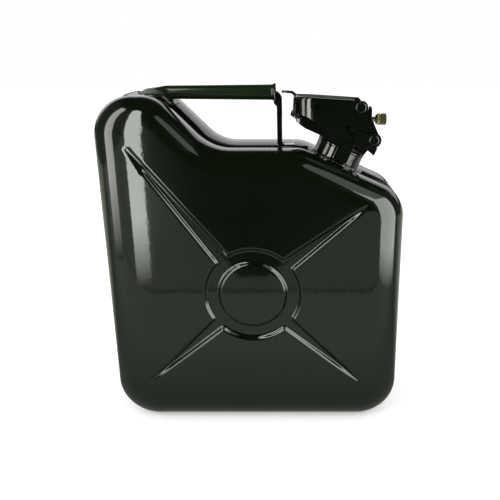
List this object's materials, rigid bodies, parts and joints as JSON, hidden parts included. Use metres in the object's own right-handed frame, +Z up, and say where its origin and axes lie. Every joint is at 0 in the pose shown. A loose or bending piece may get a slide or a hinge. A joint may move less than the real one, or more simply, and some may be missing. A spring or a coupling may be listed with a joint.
{
  "type": "gallon gas can",
  "caption": "Pressed-steel fuel can with a ring and cross ribs on its faces, a tube carrying handle and a slanted filler neck closed by a cam-lever lid.",
  "frame": {"origin": "middle of the can's footprint, on the surface that it stands on", "axes": "+Z up, +X from the hump towards the filler side, Y across the can, square to the seam plane"},
  "size_m": [0.248, 0.106, 0.2888],
  "materials": {
    "paint": "gloss",
    "closure_paint": "gloss",
    "pin_steel": "satin",
    "knob": "satin",
    "seal": "matte"
  },
  "bodies": {
    "can": {"near_half_shell": "paint", "far_half_shell": "paint", "handle_grip": "paint", "handle_front_leg": "paint", "grip_tab_weld": "paint", "leg_foot_weld": "paint", "filler_neck": "paint", "neck_weld": "paint", "vent_pipe": "pin_steel", "neck_bracket": "closure_paint", "lug_studs": "closure_paint", "hinge_pin": "closure_paint"},
    "lid": {"lid_yoke": "closure_paint", "lid_disc": "closure_paint", "lid_gasket": "seal", "gasket_retainer": "pin_steel", "lid_rivet": "pin_steel", "lever_rivet": "closure_paint", "lever_spacers": "closure_paint"},
    "lever": {"lever": "closure_paint", "lever_cross_tube": "closure_paint"},
    "locking_pin": {"locking_pin": "pin_steel", "locking_pin_knob": "knob", "locking_pin_clip": "pin_steel"}
  },
  "joints": [
    {"name": "lid_hinge", "type": "hinge", "parent": "can", "child": "lid", "pos_m": [0.09825, 0, 0.24506], "axis": [0, 1, 0], "range_deg": [0, 110]},
    {"name": "lever_pivot", "type": "hinge", "parent": "lid", "child": "lever", "pos_m": [0.0868, 0, 0.271], "axis": [0, 1, 0], "range_deg": [0, 88]},
    {"name": "locking_pin_slide", "type": "slide", "parent": "lid", "child": "locking_pin", "axis": [1, 0, 0], "range_m": [0, 0.008]}
  ],
  "couplings": [
    {"joint": "lever_pivot", "follows": "lid_hinge", "ratio": 0.8}
  ]
}
